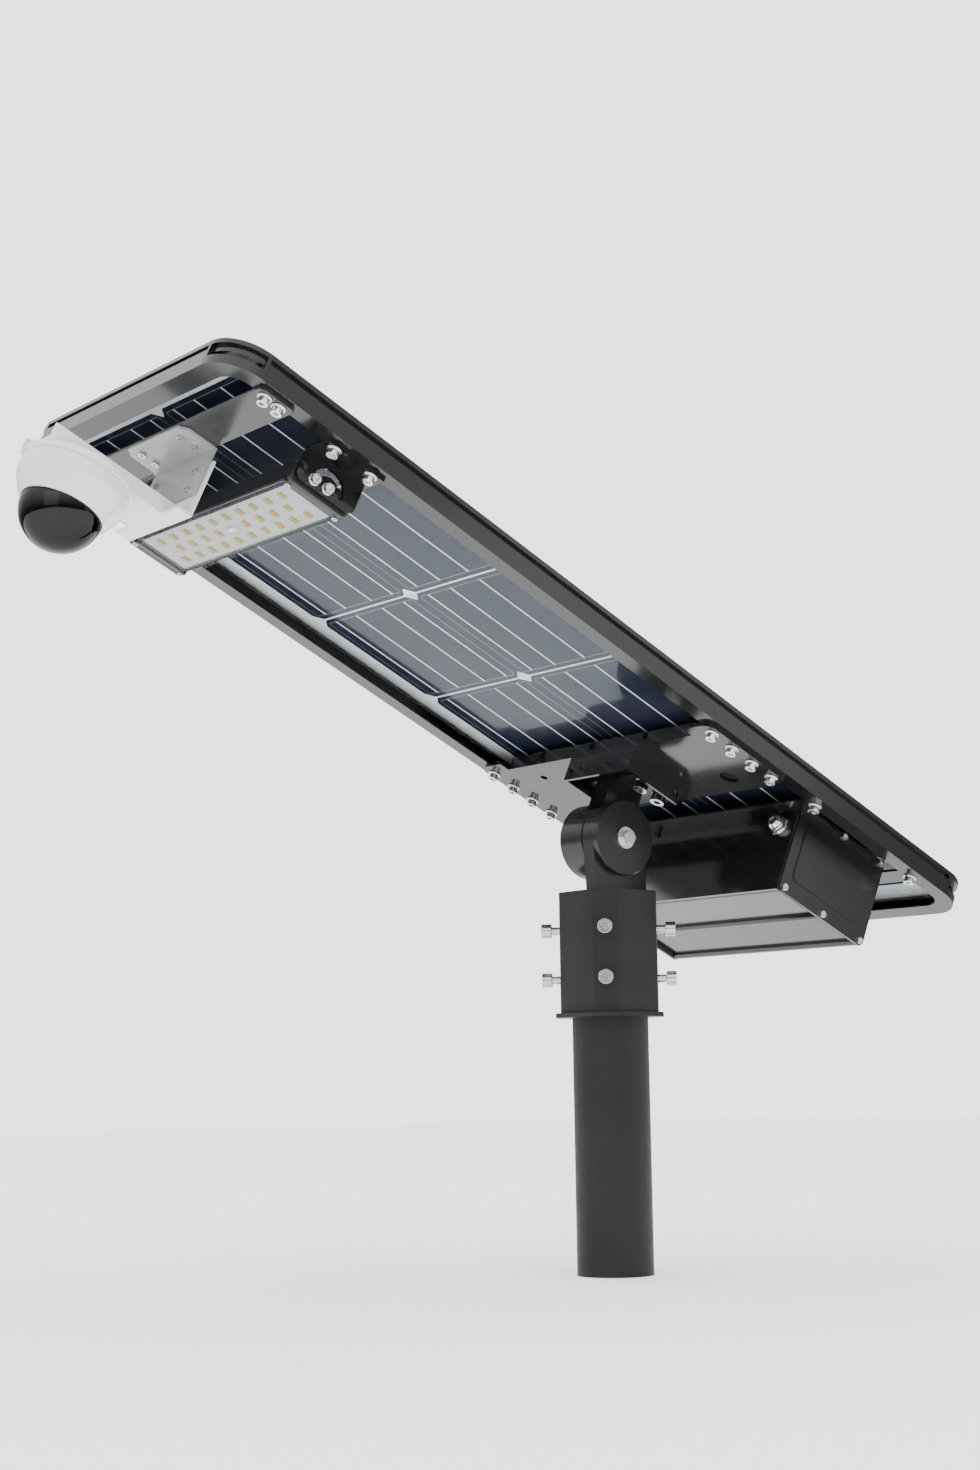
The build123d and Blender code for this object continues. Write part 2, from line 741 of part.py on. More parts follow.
web_face = cross_plate_rear
web_screws = [(t, h) for h in web_screw_levels for t in (-bracket_bolt_spread / 2, bracket_bolt_spread / 2)]
with BuildPart() as camera_bracket:
    with BuildSketch(level_plane(bracket_low)):
        with Locations((web_face - bracket_thickness + (cross_plate_length + bracket_thickness) / 2, 0)):
            Rectangle(cross_plate_length + bracket_thickness, bracket_width)
            chamfer(vertices().group_by(Axis.X)[-1], bracket_corner)
        for row in bracket_bolt_rows:
            with Locations(*[(row, side * bracket_bolt_spread / 2) for side in (-1, 1)]):
                Circle(m4_radius + hole_clearance, mode=Mode.SUBTRACT)
    extrude(amount=bracket_thickness)
    with BuildSketch(front_plane(web_face)):
        with Locations((0, (bracket_low + bracket_web_bottom) / 2)):
            Rectangle(bracket_width, bracket_low - bracket_web_bottom)
        with Locations(*web_screws):
            Circle(m4_radius + hole_clearance, mode=Mode.SUBTRACT)
    extrude(amount=-bracket_thickness)
save(camera_bracket, "camera_bracket")

arm_front = camera_reach + arm_overrun
arm_web_face = web_face - bracket_thickness
with BuildPart() as camera_arm:
    with BuildSketch(front_plane(arm_web_face)):
        with Locations((0, (arm_bottom + arm_web_top) / 2)):
            Rectangle(arm_foot_width, arm_web_top - arm_bottom)
        with Locations(*web_screws):
            Circle(m4_radius + hole_clearance, mode=Mode.SUBTRACT)
    extrude(amount=-bracket_thickness)
    with BuildSketch(level_plane(arm_bottom)):
        with Locations((arm_web_face + arm_foot_length / 2, 0)):
            Rectangle(arm_foot_length, arm_foot_width)
        with Locations(((arm_web_face + arm_front) / 2, 0)):
            Rectangle(arm_front - arm_web_face, arm_width)
        with Locations((camera_reach, 0)):
            Circle(8, mode=Mode.SUBTRACT)
            with PolarLocations(base_screw_circle, 3, 60):
                Circle(m4_radius + hole_clearance, mode=Mode.SUBTRACT)
    extrude(amount=bracket_thickness)
    for t in (arm_width / 2, -arm_width / 2 + bracket_thickness):
        with BuildSketch(side_plane(t)):
            with Locations(((arm_web_face + 5.5 + arm_front) / 2, arm_bottom + arm_wall_height / 2)):
                Rectangle(arm_front - arm_web_face - 5.5, arm_wall_height)
        extrude(amount=bracket_thickness)
save(camera_arm, "camera_arm")

m4_screw = bolt_shape(m4_radius, 2 * bracket_thickness + 5, m4_head_radius, m4_head_height, sides=0, socket=1.7)
base_screw = bolt_shape(m4_radius, bracket_thickness + 4, m4_head_radius, m4_head_height, sides=0, socket=1.7)
with BuildPart(head) as bracket_screws:
    top_places = [(row, side * bracket_bolt_spread / 2) for row in bracket_bolt_rows for side in (-1, 1)]
    with Locations(*[Location((s, t, bracket_low), (180, 0, 0)) for s, t in top_places]):
        add(m4_screw)
    with Locations(*[Location((web_face, t, h), (0, 90, 0)) for t, h in web_screws]):
        add(m4_screw)
    with Locations((camera_reach, 0, arm_bottom + bracket_thickness)):
        with PolarLocations(base_screw_circle, 3, 60):
            add(base_screw)
save(bracket_screws, "camera_screws")

m4_nut = nut_shape(m4_radius, 4.0, 3.2)
with BuildPart(head) as bracket_nuts:
    with Locations(*[Location((s, t, frame_bottom)) for s, t in top_places]):
        add(m4_nut)
    with Locations(*[Location((arm_web_face - bracket_thickness, t, h), (0, -90, 0)) for t, h in web_screws]):
        add(m4_nut)
save(bracket_nuts, "camera_bracket_nuts")

# ================= dome camera =================
# Heights in this section are measured down from the arm's underside.
ring_low = camera_base_height
skirt_top = ring_low + camera_seam
skirt_low = skirt_top + camera_skirt_height
with BuildPart(head) as camera_base:
    with Locations((camera_reach, 0, arm_bottom)):
        Cylinder(camera_base_radius, camera_base_height, align=(Align.CENTER, Align.CENTER, Align.MAX))
    chamfer(camera_base.faces().sort_by(Axis(head.origin, head.z_dir))[0].edges(), 1.2)
    with Locations((camera_reach, 0, arm_bottom)):
        Cylinder(7, camera_base_height, align=(Align.CENTER, Align.CENTER, Align.MAX), mode=Mode.SUBTRACT)
        with PolarLocations(base_screw_circle, 3, 60):
            Cylinder(m4_radius, camera_base_height, align=(Align.CENTER, Align.CENTER, Align.MAX), mode=Mode.SUBTRACT)
    with Locations((camera_reach, 0, arm_bottom - camera_base_height)):
        Cylinder(camera_skirt_radius - 5, camera_seam, align=(Align.CENTER, Align.CENTER, Align.MAX))
        Cylinder(7, camera_seam, align=(Align.CENTER, Align.CENTER, Align.MAX), mode=Mode.SUBTRACT)
save(camera_base, "camera_base")

shell_lip = dome_radius + 0.5
ledge_level = dome_depth - dome_flange_level
ledge_radius = dome_radius + dome_flange + 0.3
inner_skirt = camera_skirt_radius - housing_wall
top_lip = camera_skirt_radius - 4
with BuildPart() as camera_housing_solid:
    with BuildSketch(Plane.XZ):
        with BuildLine():
            Polyline((top_lip, -skirt_top), (camera_skirt_radius, -skirt_top), (camera_skirt_radius, -skirt_low))
            Spline(
                (camera_skirt_radius, -skirt_low), (46.2, -27.0), (shell_lip + 1.6, -dome_depth - 0.5),
                tangents=((0, -1), (-0.6, -0.8)),
            )
            Polyline(
                (shell_lip + 1.6, -dome_depth - 0.5), (shell_lip, -dome_depth - 0.5),
                (shell_lip, -ledge_level), (ledge_radius, -ledge_level),
            )
            Spline(
                (ledge_radius, -ledge_level), (44.4, -25.0), (inner_skirt, -skirt_low),
                tangents=((0.6, 0.8), (0, 1)),
            )
            Polyline(
                (inner_skirt, -skirt_low), (inner_skirt, -skirt_top - housing_wall),
                (top_lip, -skirt_top - housing_wall), (top_lip, -skirt_top),
            )
        make_face()
    revolve(axis=Axis.Z)
with BuildPart(head) as camera_housing:
    with Locations((camera_reach, 0, arm_bottom)):
        add(camera_housing_solid.part)
save(camera_housing, "camera_housing")

dome_centre = arm_bottom - dome_depth
dome_inner = dome_radius - dome_wall
flange_level = dome_flange_level + dome_flange_thickness
with BuildPart() as dome_solid:
    with BuildSketch(Plane.XZ):
        with BuildLine():
            CenterArc((0, 0), dome_radius, 270, 90)
            Polyline(
                (dome_radius, 0), (dome_radius, dome_flange_level), (dome_radius + dome_flange, dome_flange_level),
                (dome_radius + dome_flange, flange_level), (dome_inner, flange_level), (dome_inner, 0),
            )
            CenterArc((0, 0), dome_inner, 270, 90)
            Line((0, -dome_inner), (0, -dome_radius))
        make_face()
    revolve(axis=Axis.Z)
with BuildPart(head) as camera_dome:
    with Locations((camera_reach, 0, dome_centre)):
        add(dome_solid.part)
save(camera_dome, "camera_dome")

chassis_low = arm_bottom - skirt_top - 3.0
turret_top = arm_bottom - skirt_top - 6.0
turret_low = turret_top - turret_thickness
turret_radius = dome_inner - 2.0
pillar_height = chassis_low - (dome_centre + flange_level)
downwards = (Align.CENTER, Align.CENTER, Align.MAX)
with BuildPart(head) as camera_chassis:
    with Locations((camera_reach, 0, arm_bottom - skirt_top)):
        Cylinder(top_lip - 0.1, 3.0, align=downwards)
        Cylinder(9, 6.0 - camera_clearance, align=downwards)
        Cylinder(spindle_radius, 6.0 + turret_thickness + 2.0, align=downwards)
    with Locations((camera_reach, 0, turret_low - camera_clearance)):
        Cylinder(spindle_radius + 2, 1.7, align=downwards)
    with Locations((camera_reach, 0, chassis_low)):
        with PolarLocations(dome_inner + dome_wall + 0.3, 4, 20):
            Box(4.2, 5, pillar_height, align=downwards)
save(camera_chassis, "camera_chassis")

ear_offset = eye_radius + camera_clearance + 1.6
with BuildPart(head) as camera_turret:
    with Locations((camera_reach, 0, turret_top)):
        Cylinder(turret_radius, turret_thickness, align=downwards)
        Cylinder(spindle_radius + pivot_clearance, turret_thickness, align=downwards, mode=Mode.SUBTRACT)
    with Locations(*[(camera_reach, side * ear_offset, turret_low) for side in (-1, 1)]):
        Box(12, 3.2, turret_low - dome_centre + 6, align=downwards)
    with Locations(Location((camera_reach, 0, dome_centre), (90, 0, 0))):
        Cylinder(eye_pin_radius + pivot_clearance, 60, mode=Mode.SUBTRACT)
save(camera_turret, "camera_turret")

with BuildPart(head) as camera_eye:
    with Locations(Location((camera_reach, 0, dome_centre), (0, 180 - eye_pitch, 0))):
        Sphere(eye_radius)
        with Locations((0, 0, eye_radius - 3.5)):
            Cylinder(11, 12, align=(Align.CENTER, Align.CENTER, Align.MIN), mode=Mode.SUBTRACT)
            Cylinder(10.9, 2.4, align=(Align.CENTER, Align.CENTER, Align.MIN))
            Cylinder(8.2, 12, align=(Align.CENTER, Align.CENTER, Align.MIN), mode=Mode.SUBTRACT)
    with Locations(Location((camera_reach, 0, dome_centre), (90, 0, 0))):
        Cylinder(eye_pin_radius, 2 * ear_offset)
save(camera_eye, "camera_eye")

with BuildPart(head) as camera_lens:
    with Locations(Location((camera_reach, 0, dome_centre), (0, 180 - eye_pitch, 0))):
        with Locations((0, 0, eye_radius - 3.5)):
            Cylinder(8.1, 2.6, align=(Align.CENTER, Align.CENTER, Align.MIN))
save(camera_lens, "camera_lens")

# ================= flood lamp =================
cover_top = lamp_cover_low + lamp_cover_depth
gasket_top = cover_top + lamp_gasket
board_low = gasket_top
sink_low = board_low + board_thickness
sink_top = sink_low + sink_base
cap_low = lamp_cover_low + 3.4
cap_high = sink_top + fin_height
cover_fix_s = lamp_cover_width / 2 - 2.4
cover_fix_t = lamp_cover_length / 2 + 3.0
cover_fix_places = [(lamp_centre + i * cover_fix_s, j * cover_fix_t) for i in (-1, 1) for j in (-1, 1)]
end_block = lamp_half_length - lamp_cover_length / 2 - 0.4

with BuildPart() as lamp_heat_sink:
    with BuildSketch(level_plane(sink_low)):
        with Locations((lamp_centre, 0)):
            Rectangle(lamp_body_width, 2 * lamp_half_length)
    extrude(amount=sink_base)
    with BuildSketch(level_plane(sink_top)):
        fin_pitch = (lamp_body_width - fin_thickness) / (fin_count - 1)
        for k in range(fin_count):
            with Locations((lamp_centre + fin_pitch * (k - (fin_count - 1) / 2), 0)):
                Rectangle(fin_thickness, 2 * lamp_half_length)
    extrude(amount=fin_height)
    for side in (-1, 1):
        with BuildSketch(level_plane(cap_low)):
            with Locations((lamp_centre, side * (lamp_half_length - end_block / 2))):
                Rectangle(lamp_body_width, end_block)
            with Locations(*cover_fix_places):
                Circle(m3_radius, mode=Mode.SUBTRACT)
        extrude(amount=sink_low - cap_low)
save(lamp_heat_sink, "lamp_heat_sink")

with BuildPart() as lamp_end_caps:
    for start in (lamp_half_length + end_cap_thickness, -lamp_half_length):
        with BuildSketch(side_plane(start)):
            with Locations((lamp_centre, (cap_low + cap_high) / 2)):
                Rectangle(lamp_body_width + 2, cap_high - cap_low)
                chamfer(vertices(), 3)
            with Locations((lamp_pivot_reach, lamp_pivot_height), (lamp_pivot_reach + arc_radius, lamp_pivot_height)):
                Circle(m6_radius, mode=Mode.SUBTRACT)
        extrude(amount=end_cap_thickness)
save(lamp_end_caps, "lamp_end_caps")

with BuildPart() as lamp_board:
    with BuildSketch(level_plane(board_low)):
        with Locations((lamp_centre, 0)):
            Rectangle(lamp_cover_width - board_margin, lamp_cover_length - board_margin)
    extrude(amount=board_thickness)
save(lamp_board, "lamp_board")

full_row = [led_pitch * (k - 4.5) for k in range(10)]
short_row = [led_pitch * (k + 0.5 - 4.5) for k in range(9) if k != 4]
led_places = [(lamp_centre + led_row_pitch, t) for t in full_row] + [(lamp_centre, t) for t in short_row]
led_places += [(lamp_centre - led_row_pitch, t) for t in full_row]
with BuildPart() as led_emitters:
    with BuildSketch(level_plane(board_low - led_height)):
        with Locations(*led_places):
            Rectangle(led_size, led_size)
    extrude(amount=led_height)
save(led_emitters, "led_emitters")

with BuildPart() as lamp_connector:
    with BuildSketch(level_plane(board_low - 2.0)):
        with Locations((lamp_centre, 0)):
            Rectangle(5, 9)
    extrude(amount=2.0)
save(lamp_connector, "lamp_connector")

with BuildPart() as lamp_gasket_ring:
    with BuildSketch(level_plane(cover_top)):
        with Locations((lamp_centre, 0)):
            Rectangle(lamp_cover_width, lamp_cover_length)
            Rectangle(
                lamp_cover_width - 2 * gasket_width, lamp_cover_length - 2 * gasket_width, mode=Mode.SUBTRACT
            )
    extrude(amount=lamp_gasket)
save(lamp_gasket_ring, "lamp_gasket")

segment_pitch = lamp_cover_length / lamp_cover_segments
notch_places = [segment_pitch * (k - lamp_cover_segments / 2) for k in range(1, lamp_cover_segments)]
with BuildPart() as lamp_cover:
    with BuildSketch(level_plane(lamp_cover_low)):
        with Locations((lamp_centre, 0)):
            Rectangle(lamp_cover_width, lamp_cover_length)
    extrude(amount=lamp_cover_depth)
    chamfer(lamp_cover.faces().sort_by(Axis(head.origin, head.z_dir))[0].edges(), 1.2)
    with BuildSketch(level_plane(lamp_cover_low)):
        with Locations((lamp_centre, 0)):
            Rectangle(lamp_cover_width - 2 * lamp_rim, lamp_cover_length - 2 * lamp_rim)
    extrude(amount=lamp_cover_floor / 2, mode=Mode.SUBTRACT)
    with BuildSketch(level_plane(lamp_cover_low)):
        for t in notch_places:
            with Locations(*[(lamp_centre + side * (lamp_cover_width / 2 - lamp_rim / 2), t) for side in (-1, 1)]):
                Rectangle(lamp_rim + 0.01, segment_notch)
    extrude(amount=lamp_cover_floor / 2, mode=Mode.SUBTRACT)
    with BuildSketch(level_plane(lamp_cover_low + 1.5 * lamp_cover_floor)):
        with Locations((lamp_centre, 0)):
            Rectangle(lamp_cover_width - 2 * lamp_rim, lamp_cover_length - 2 * lamp_rim)
    extrude(amount=lamp_cover_depth, mode=Mode.SUBTRACT)
    bubble_base = lamp_cover_low + lamp_cover_floor / 2
    with Locations(*[Location(head.location * Location((s, t, bubble_base))) for s, t in led_places]):
        Cylinder(bubble_radius, bubble_rise, align=(Align.CENTER, Align.CENTER, Align.MAX))
    domes = lamp_cover.faces().filter_by(lambda face: abs(face.area - 3.14159 * bubble_radius**2) < 0.5)
    fillet(domes.edges(), bubble_rise - 0.3)
save(lamp_cover, "lamp_cover")

cover_screw = bolt_shape(m3_radius, sink_low - cap_low - 0.2, m3_head_radius, m3_head_height, sides=0, socket=1.3)
with BuildPart(head) as cover_screws:
    with Locations(*[Location((s, t, cap_low), (180, 0, 0)) for s, t in cover_fix_places]):
        add(cover_screw)
save(cover_screws, "lamp_cover_screws")

bracket_inner = lamp_half_length + end_cap_thickness + lamp_bracket_gap
bracket_outer = bracket_inner + lamp_bracket_thickness
bracket_front = lamp_pivot_reach + lamp_bracket_length / 2
bracket_rear = lamp_pivot_reach - lamp_bracket_length / 2
bracket_top = frame_bottom
lock_bolt_place = (lamp_pivot_reach + arc_radius, lamp_pivot_height)
lock_path = Edge.make_circle(
    arc_radius, Plane(origin=(lamp_pivot_reach, lamp_pivot_height, 0)), start_angle=0, end_angle=arc_travel
)
for label, side in (("lamp_bracket_near", 1), ("lamp_bracket_far", -1)):
    plate_face = bracket_outer if side > 0 else -bracket_inner
    with BuildPart() as lamp_bracket:
        with BuildSketch(side_plane(plate_face)):
            with BuildLine():
                Polyline(
                    (bracket_rear + 6, lamp_bracket_bottom), (bracket_front - 4, lamp_bracket_bottom),
                    (bracket_front, lamp_bracket_bottom + 5), (bracket_front, bracket_top),
                    (bracket_rear, bracket_top), (bracket_rear, lamp_bracket_bottom + 5), close=True,
                )
            make_face()
            with Locations((lamp_pivot_reach, lamp_pivot_height)):
                Circle(m6_radius + pivot_clearance, mode=Mode.SUBTRACT)
            SlotArc(lock_path, 2 * (m6_radius + hole_clearance), mode=Mode.SUBTRACT)
        extrude(amount=lamp_bracket_thickness)
        with BuildSketch(level_plane(bracket_top - lamp_bracket_thickness)):
            middle = bracket_inner + lamp_bracket_flange / 2
            with Locations((lamp_pivot_reach, side * middle)):
                Rectangle(lamp_bracket_length, lamp_bracket_flange)
            with Locations(*[(row, side * flange_bolt_t) for row in lamp_bracket_rows]):
                Circle(m6_radius + hole_clearance, mode=Mode.SUBTRACT)
        extrude(amount=lamp_bracket_thickness)
    save(lamp_bracket, label)

lamp_bolt = bolt_shape(
    m6_radius, lamp_bracket_thickness + lamp_bracket_gap + end_cap_thickness, lock_head_radius,
    lock_head_height, sides=0, socket=2.4, washer=lock_head_radius + 1.0, washer_height=1.2,
)
washer_gap = 0.1
with BuildPart(head) as lamp_bolts:
    for s, h in ((lamp_pivot_reach, lamp_pivot_height), lock_bolt_place):
        with Locations(
            Location((s, bracket_outer + washer_gap, h), (-90, 0, 0)),
            Location((s, -bracket_outer - washer_gap, h), (90, 0, 0)),
        ):
            add(lamp_bolt)
save(lamp_bolts, "lamp_side_bolts")

# ================= battery box =================
box_length = box_front - box_rear
box_height = box_high - box_low
box_middle = ((box_front + box_rear) / 2, (box_low + box_high) / 2)
bar_screw_level = flange_top + bar_thickness - bar_leg_drop / 2 - 1.5
channel_places = [
    (s, h) for h in (rod_level, box_high - box_wall - 0.9)
    for s in (box_front - screw_channel_inset, box_middle[0], box_rear + screw_channel_inset)
]


def box_outline(inset):
    """The case section: its floor is level at the rear and falls to the front edge."""
    front, rear = box_front - inset, box_rear + inset
    return [
        (front, box_high - inset), (rear, box_high - inset), (rear, box_low + inset),
        (box_middle[0], box_low + inset), (front, box_front_low + inset),
    ]


with BuildPart() as battery_case:
    with BuildSketch(side_plane(box_half_length)):
        with BuildLine():
            Polyline(*box_outline(0), close=True)
        make_face()
        with BuildLine():
            Polyline(*box_outline(box_wall), close=True)
        make_face(mode=Mode.SUBTRACT)
        with Locations(*channel_places):
            Circle(screw_channel_radius)
        with Locations(*channel_places):
            Circle(m4_radius, mode=Mode.SUBTRACT)
    extrude(amount=2 * box_half_length)
    with BuildSketch(front_plane(box_front)):
        with Locations((gland_reach, gland_height)):
            Circle(gland_radius - 3)
    extrude(amount=-box_wall, mode=Mode.SUBTRACT)
    for wall_s in (box_front, box_rear + box_wall):
        with BuildSketch(front_plane(wall_s)):
            with Locations(*[(side * bar_box_bolt_spread / 2, bar_screw_level) for side in (-1, 1)]):
                Circle(m4_radius)
        extrude(amount=-box_wall, mode=Mode.SUBTRACT)
save(battery_case, "battery_case")

end_face = box_half_length + box_gasket + box_end_thickness
end_low = rod_level - screw_channel_radius
end_height = box_high - end_low
end_middle = (box_middle[0], (box_high + end_low) / 2)
with BuildPart() as battery_gaskets:
    for face in (box_half_length + box_gasket, -box_half_length):
        with BuildSketch(side_plane(face)):
            with Locations(end_middle):
                Rectangle(box_length, end_height)
                chamfer(vertices(), 4)
            with Locations(box_middle):
                Rectangle(box_length - 24, box_height - 18, mode=Mode.SUBTRACT)
            with Locations(*channel_places):
                Circle(m4_radius + hole_clearance, mode=Mode.SUBTRACT)
        extrude(amount=box_gasket)
save(battery_gaskets, "battery_gaskets")

with BuildPart() as battery_end_plates:
    for face, raised, rise in ((end_face, end_face, -1.2), (-end_face + box_end_thickness, -end_face, 1.2)):
        with BuildSketch(side_plane(face)):
            with Locations(end_middle):
                Rectangle(box_length, end_height)
                chamfer(vertices(), 4)
            with Locations(*channel_places):
                Circle(m4_radius + hole_clearance, mode=Mode.SUBTRACT)
        extrude(amount=box_end_thickness)
        with BuildSketch(side_plane(raised)):
            with Locations(box_middle):
                RectangleRounded(box_length - 26, box_height - 26, 6)
        extrude(amount=rise)
save(battery_end_plates, "battery_end_plates")

end_screw = bolt_shape(
    m4_radius, box_end_thickness + box_gasket + 10, m4_head_radius, m4_head_height, sides=0, socket=1.7
)
with BuildPart(head) as end_screws:
    with Locations(*[Location((s, end_face, h), (-90, 0, 0)) for s, h in channel_places]):
        add(end_screw)
    with Locations(*[Location((s, -end_face, h), (90, 0, 0)) for s, h in channel_places]):
        add(end_screw)
save(end_screws, "battery_end_screws")

holder_low = rod_level + screw_channel_radius + inner_gap
cells_low = holder_low + holder_base + inner_gap
can_places = [
    (box_middle[0] + s * cell_can_pitch, cells_low + cell_can_radius + h * cell_can_pitch)
    for s in (-1, 0, 1) for h in (0, 1)
]
with BuildPart(head) as battery_cells:
    for s, h in can_places:
        with Locations(*[Location((s, k * (cell_can_length + 2), h), (90, 0, 0)) for k in (-1, 0, 1)]):
            Cylinder(cell_can_radius, cell_can_length)
save(battery_cells, "battery_cells")

holder_outer = 1.5 * cell_can_length - 2
with BuildPart() as cell_holder:
    for t in (holder_outer, cell_can_length / 2, holder_plate - cell_can_length / 2, holder_plate - holder_outer):
        with BuildSketch(side_plane(t)):
            with Locations((box_middle[0], cells_low + cell_can_radius + cell_can_pitch / 2)):
                Rectangle(box_length - 18, 2 * cell_can_pitch + 2)
            with Locations(*can_places):
                Circle(cell_can_radius + swivel_clearance, mode=Mode.SUBTRACT)
        extrude(amount=holder_plate)
    with BuildSketch(side_plane(holder_outer + 6)):
        with Locations((box_middle[0], holder_low + holder_base / 2)):
            Rectangle(box_length - 26, holder_base)
    extrude(amount=2 * (holder_outer + 6))
save(cell_holder, "battery_cell_holder")

board_level = box_high - box_wall - 8.0
with BuildPart(head) as charge_controller:
    with Locations((box_middle[0], 30, board_level)):
        Box(86, 110, 1.6)
        with Locations((-24, -20, -3.3)):
            Box(26, 30, 5)
        with Locations((20, 24, -2.8)):
            Box(18, 18, 4)
        with Locations(*[(38 * i, 48 * j, 4.4) for i in (-1, 1) for j in (-1, 1)]):
            Cylinder(3, 7.2)
save(charge_controller, "charge_controller")

with BuildPart() as battery_bars:
    for wall_s, out in ((box_front, 1), (box_rear, -1)):
        with BuildSketch(level_plane(flange_top)):
            with Locations((wall_s + out * bar_leg / 2, 0)):
                Rectangle(bar_leg, 2 * plate_half - 6)
            with Locations(*[(wall_s + out * bar_leg / 2, side * flange_bolt_t) for side in (-1, 1)]):
                Circle(m6_radius + hole_clearance, mode=Mode.SUBTRACT)
        extrude(amount=bar_thickness)
        with BuildSketch(front_plane(wall_s if out > 0 else wall_s - bar_thickness)):
            with Locations((0, flange_top + bar_thickness - bar_leg_drop / 2)):
                Rectangle(2 * bar_leg_half, bar_leg_drop)
            with Locations(*[(side * bar_box_bolt_spread / 2, bar_screw_level) for side in (-1, 1)]):
                Circle(m4_radius + hole_clearance, mode=Mode.SUBTRACT)
        extrude(amount=bar_thickness)
save(battery_bars, "battery_bars")

bar_screw = bolt_shape(
    m4_radius, bar_thickness + box_wall + 1, m4_head_radius, m4_head_height, sides=0, socket=1.7
)
with BuildPart(head) as bar_screws:
    for wall_s, out in ((box_front, 1), (box_rear, -1)):
        for side in (-1, 1):
            spot = (wall_s + out * bar_thickness, side * bar_box_bolt_spread / 2, bar_screw_level)
            with Locations(Location(spot, (0, 90 * out, 0))):
                add(bar_screw)
save(bar_screws, "battery_bar_screws")

gland_hexagon = nut_shape(3.2, gland_radius - 0.8, 6)
with BuildPart(head) as cable_gland:
    upwards = (Align.CENTER, Align.CENTER, Align.MIN)
    with Locations(Location((box_front, gland_reach, gland_height), (0, 90, 0))):
        Cylinder(gland_radius - 3.2, box_wall + 3, align=downwards)
        Cylinder(gland_radius, 1.6, align=upwards)
        add(gland_hexagon)
        with Locations((0, 0, 6)):
            Cylinder(gland_radius - 3, 3, align=upwards)
        with Locations((0, 0, 9)):
            Cone(gland_radius - 3, gland_radius - 6, 3, align=upwards)
            Cylinder(3.2, 6, mode=Mode.SUBTRACT)
save(cable_gland, "cable_gland")
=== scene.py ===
import json
import math

import bpy
from mathutils import Matrix, Vector


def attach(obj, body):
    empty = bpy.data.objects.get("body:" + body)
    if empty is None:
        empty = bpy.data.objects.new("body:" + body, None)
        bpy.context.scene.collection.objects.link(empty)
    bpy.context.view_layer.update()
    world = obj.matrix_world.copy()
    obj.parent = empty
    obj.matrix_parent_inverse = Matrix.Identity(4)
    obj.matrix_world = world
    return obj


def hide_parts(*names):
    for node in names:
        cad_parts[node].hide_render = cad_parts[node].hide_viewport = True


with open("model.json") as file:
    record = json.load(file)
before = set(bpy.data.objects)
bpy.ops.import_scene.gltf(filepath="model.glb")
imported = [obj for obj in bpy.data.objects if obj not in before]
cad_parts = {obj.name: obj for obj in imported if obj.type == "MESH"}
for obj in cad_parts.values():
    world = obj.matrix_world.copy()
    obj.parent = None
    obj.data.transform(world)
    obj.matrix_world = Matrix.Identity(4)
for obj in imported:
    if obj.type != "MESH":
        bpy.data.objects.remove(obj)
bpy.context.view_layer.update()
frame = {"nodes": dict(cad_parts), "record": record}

# The lamp head stands on a short length of pole, +X to the raised end of the panel, +Z up.
# Panel places are given as (along, across, height) from the tilt pivot, square to the panel.
mm = 0.001
tiltAngle = math.radians(24.8)
pivotHeight = 0.430
panelTurn = Matrix.Translation((0, 0, pivotHeight)) @ Matrix.Rotation(-tiltAngle, 4, "Y")


# ---- materials ----

class Field:
    # one output socket that can be used in sums
    def __init__(self, kit, socket):
        self.kit, self.socket = kit, socket

    def math(self, operation, *others):
        return self.kit.node("ShaderNodeMath", {"operation": operation}, dict(enumerate((self,) + others)))

    def __add__(self, other):
        return self.math("ADD", other)

    def __radd__(self, other):
        return self.math("ADD", other)

    def __sub__(self, other):
        return self.math("SUBTRACT", other)

    def __mul__(self, other):
        return self.math("MULTIPLY", other)

    def __rmul__(self, other):
        return self.math("MULTIPLY", other)

    def __lt__(self, other):
        return self.math("LESS_THAN", other)

    def __abs__(self):
        return self.math("ABSOLUTE")


